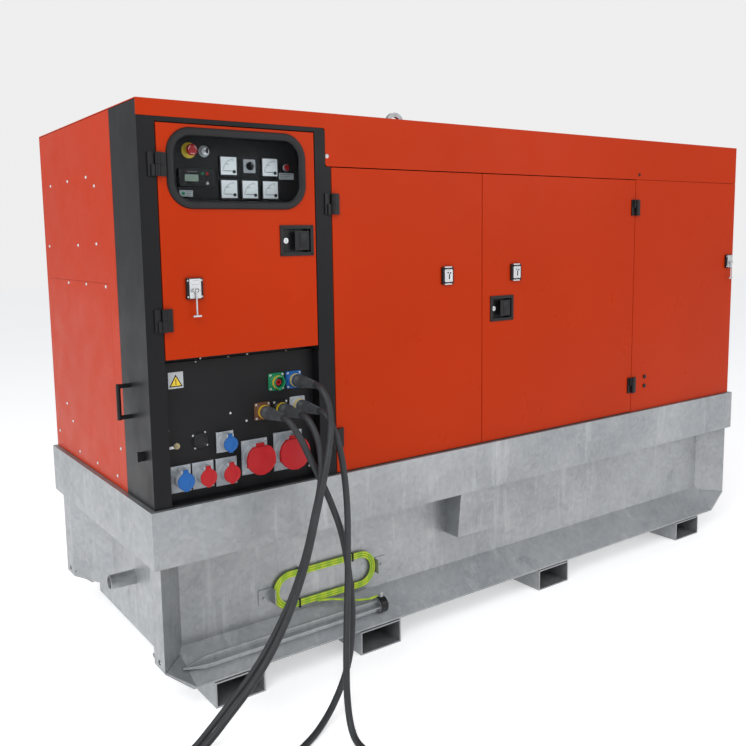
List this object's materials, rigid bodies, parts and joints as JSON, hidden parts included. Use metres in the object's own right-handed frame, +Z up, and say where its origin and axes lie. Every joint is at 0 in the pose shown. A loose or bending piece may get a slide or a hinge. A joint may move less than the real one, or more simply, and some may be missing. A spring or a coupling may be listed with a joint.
{
  "type": "skid-mounted diesel generator set",
  "caption": "Silenced diesel generator set on a bunded skid base, with hinged doors, a glazed control door, lidded sockets and plugged power cables.",
  "frame": {"origin": "on the floor under the middle of the canopy", "axes": "+X along the length, from the control end to the radiator end; +Y from the front, where the sockets are, to the back; +Z up"},
  "size_m": [4.0565, 2.2745, 2.302],
  "materials": {
    "galvanised": "hot-dip galvanised, dull spangle",
    "orange_paint": "satin powder coat",
    "black_paint": "satin powder coat",
    "black_plastic": "satin",
    "seal_rubber": "matt",
    "window": "clear",
    "screw_zinc": "zinc plated",
    "cable_rubber": "matt sheath",
    "earth_sheath": "green and yellow sheath",
    "socket_grey": "satin",
    "socket_red": "satin",
    "socket_blue": "satin",
    "connector_body": "satin, coloured bodies and yellow rings",
    "panel_dark": "matt",
    "meter_white": "white dial in black bezel",
    "button_red": "gloss",
    "iron": "painted casting",
    "alternator_paint": "painted casting",
    "radiator_alloy": "matt",
    "exhaust_steel": "heat stained"
  },
  "bodies": {
    "skid": {"base": "galvanised", "fork_pockets": "galvanised", "fuel_tank": "black_paint", "earth_stake_set": "galvanised", "earth_lead": "earth_sheath", "canopy_frame": "black_paint", "roof": "orange_paint", "front_panel": "orange_paint", "rear_panels": "orange_paint", "left_end_panel": "orange_paint", "right_end_panel": "orange_paint", "control_surround": "black_paint", "panel_screws": "screw_zinc", "lifting_eye": "galvanised", "canopy_fittings": "black_plastic", "instrument_panel": "panel_dark", "panel_instruments": "meter_white", "socket_panel": "panel_dark", "socket_bodies": "socket_grey", "power_connectors": "connector_body", "engine_block": "iron", "alternator": "alternator_paint", "radiator": "radiator_alloy", "silencer": "exhaust_steel", "battery": "black_plastic", "engine_rails": "black_paint", "cable_n": "cable_rubber", "cable_l1": "cable_rubber", "cable_l2": "cable_rubber", "cable_l3": "cable_rubber", "coil_n": "cable_rubber", "coil_l1": "cable_rubber", "coil_l2": "cable_rubber", "coil_l3": "cable_rubber", "cable_ends": "black_plastic"},
    "control_door": {"control_door": "orange_paint", "window_seal": "seal_rubber", "window_pane": "window", "control_door_fittings": "black_plastic"},
    "control_paddle": {"control_paddle": "black_plastic"},
    "door_hook": {"door_hook": "screw_zinc"},
    "panel_hook": {"panel_hook": "screw_zinc"},
    "left_door": {"left_door": "orange_paint", "left_door_fittings": "black_plastic"},
    "right_door": {"right_door": "orange_paint", "right_door_fittings": "black_plastic"},
    "right_paddle": {"right_paddle": "black_plastic"},
    "rear_door": {"rear_door": "orange_paint"},
    "rear_paddle": {"rear_paddle": "black_plastic"},
    "emergency_stop": {"emergency_stop": "button_red"},
    "key_switch": {"key_switch": "screw_zinc"},
    "selector_knob": {"selector_knob": "black_plastic"},
    "isolator_knob": {"isolator_knob": "black_plastic"},
    "crankshaft": {"crankshaft": "screw_zinc"},
    "lid_blue_16": {"lid_blue_16": "socket_blue"},
    "lid_red_16": {"lid_red_16": "socket_red"},
    "lid_red_32": {"lid_red_32": "socket_red"},
    "lid_blue_small": {"lid_blue_small": "socket_blue"},
    "lid_red_63": {"lid_red_63": "socket_red"},
    "lid_red_125": {"lid_red_125": "socket_red"}
  },
  "joints": [
    {"name": "control_door_hinge", "type": "hinge", "parent": "skid", "child": "control_door", "pos_m": [-1.667, -0.602, 1.7], "axis": [0, 0, -1], "range_deg": [0, 170]},
    {"name": "left_door_hinge", "type": "hinge", "parent": "skid", "child": "left_door", "pos_m": [-0.981, -0.602, 1.383], "axis": [0, 0, -1], "range_deg": [0, 95]},
    {"name": "right_door_hinge", "type": "hinge", "parent": "skid", "child": "right_door", "pos_m": [0.843, -0.602, 1.383], "axis": [0, 0, 1], "range_deg": [0, 170]},
    {"name": "rear_door_hinge", "type": "hinge", "parent": "skid", "child": "rear_door", "pos_m": [0.65, 0.602, 1.383], "axis": [0, 0, -1], "range_deg": [0, 170]},
    {"name": "control_paddle_pin", "type": "hinge", "parent": "control_door", "child": "control_paddle", "pos_m": [-1.087, -0.586, 1.702], "axis": [0, 0, 1], "range_deg": [0, 40], "stiffness_Nm_per_rad": 0.3},
    {"name": "right_paddle_pin", "type": "hinge", "parent": "right_door", "child": "right_paddle", "pos_m": [-0.036, -0.586, 1.388], "axis": [0, 0, 1], "range_deg": [0, 40], "stiffness_Nm_per_rad": 0.3},
    {"name": "rear_paddle_pin", "type": "hinge", "parent": "rear_door", "child": "rear_paddle", "pos_m": [-0.23, 0.586, 1.388], "axis": [0, 0, -1], "range_deg": [0, 40], "stiffness_Nm_per_rad": 0.3},
    {"name": "door_hook_pin", "type": "hinge", "parent": "control_door", "child": "door_hook", "pos_m": [-1.553, -0.611, 1.539], "axis": [-1, 0, 0], "range_deg": [0, 90]},
    {"name": "panel_hook_pin", "type": "hinge", "parent": "skid", "child": "panel_hook", "pos_m": [1.683, -0.611, 1.539], "axis": [-1, 0, 0], "range_deg": [0, 90]},
    {"name": "emergency_stop_push", "type": "slide", "parent": "skid", "child": "emergency_stop", "axis": [0, 1, 0], "range_m": [0, 0.005]},
    {"name": "key_turn", "type": "hinge", "parent": "skid", "child": "key_switch", "pos_m": [-1.455, -0.5, 2.018], "axis": [0, 1, 0], "range_deg": [0, 90]},
    {"name": "selector_turn", "type": "hinge", "parent": "skid", "child": "selector_knob", "pos_m": [-1.278, -0.5, 1.973], "axis": [0, 1, 0], "range_deg": [-135, 135]},
    {"name": "isolator_turn", "type": "hinge", "parent": "skid", "child": "isolator_knob", "pos_m": [-1.73, -0.51, 0.968], "axis": [1, 0, 0], "range_deg": [0, 90]},
    {"name": "lid_blue_16_pin", "type": "hinge", "parent": "skid", "child": "lid_blue_16", "pos_m": [-1.613, -0.591, 0.911], "axis": [-1, 0, 0], "range_deg": [0, 100], "stiffness_Nm_per_rad": 0.03},
    {"name": "lid_red_16_pin", "type": "hinge", "parent": "skid", "child": "lid_red_16", "pos_m": [-1.528, -0.591, 0.911], "axis": [-1, 0, 0], "range_deg": [0, 100], "stiffness_Nm_per_rad": 0.03},
    {"name": "lid_red_32_pin", "type": "hinge", "parent": "skid", "child": "lid_red_32", "pos_m": [-1.436, -0.591, 0.909], "axis": [-1, 0, 0], "range_deg": [0, 100], "stiffness_Nm_per_rad": 0.03},
    {"name": "lid_blue_small_pin", "type": "hinge", "parent": "skid", "child": "lid_blue_small", "pos_m": [-1.438, -0.591, 1.014], "axis": [-1, 0, 0], "range_deg": [0, 100], "stiffness_Nm_per_rad": 0.03},
    {"name": "lid_red_63_pin", "type": "hinge", "parent": "skid", "child": "lid_red_63", "pos_m": [-1.319, -0.591, 0.962], "axis": [-1, 0, 0], "range_deg": [0, 100], "stiffness_Nm_per_rad": 0.1},
    {"name": "lid_red_125_pin", "type": "hinge", "parent": "skid", "child": "lid_red_125", "pos_m": [-1.176, -0.591, 0.969], "axis": [-1, 0, 0], "range_deg": [0, 100], "stiffness_Nm_per_rad": 0.1},
    {"name": "crankshaft_turn", "type": "hinge", "parent": "skid", "child": "crankshaft", "pos_m": [0, 0, 1.19], "axis": [1, 0, 0], "continuous": true}
  ]
}
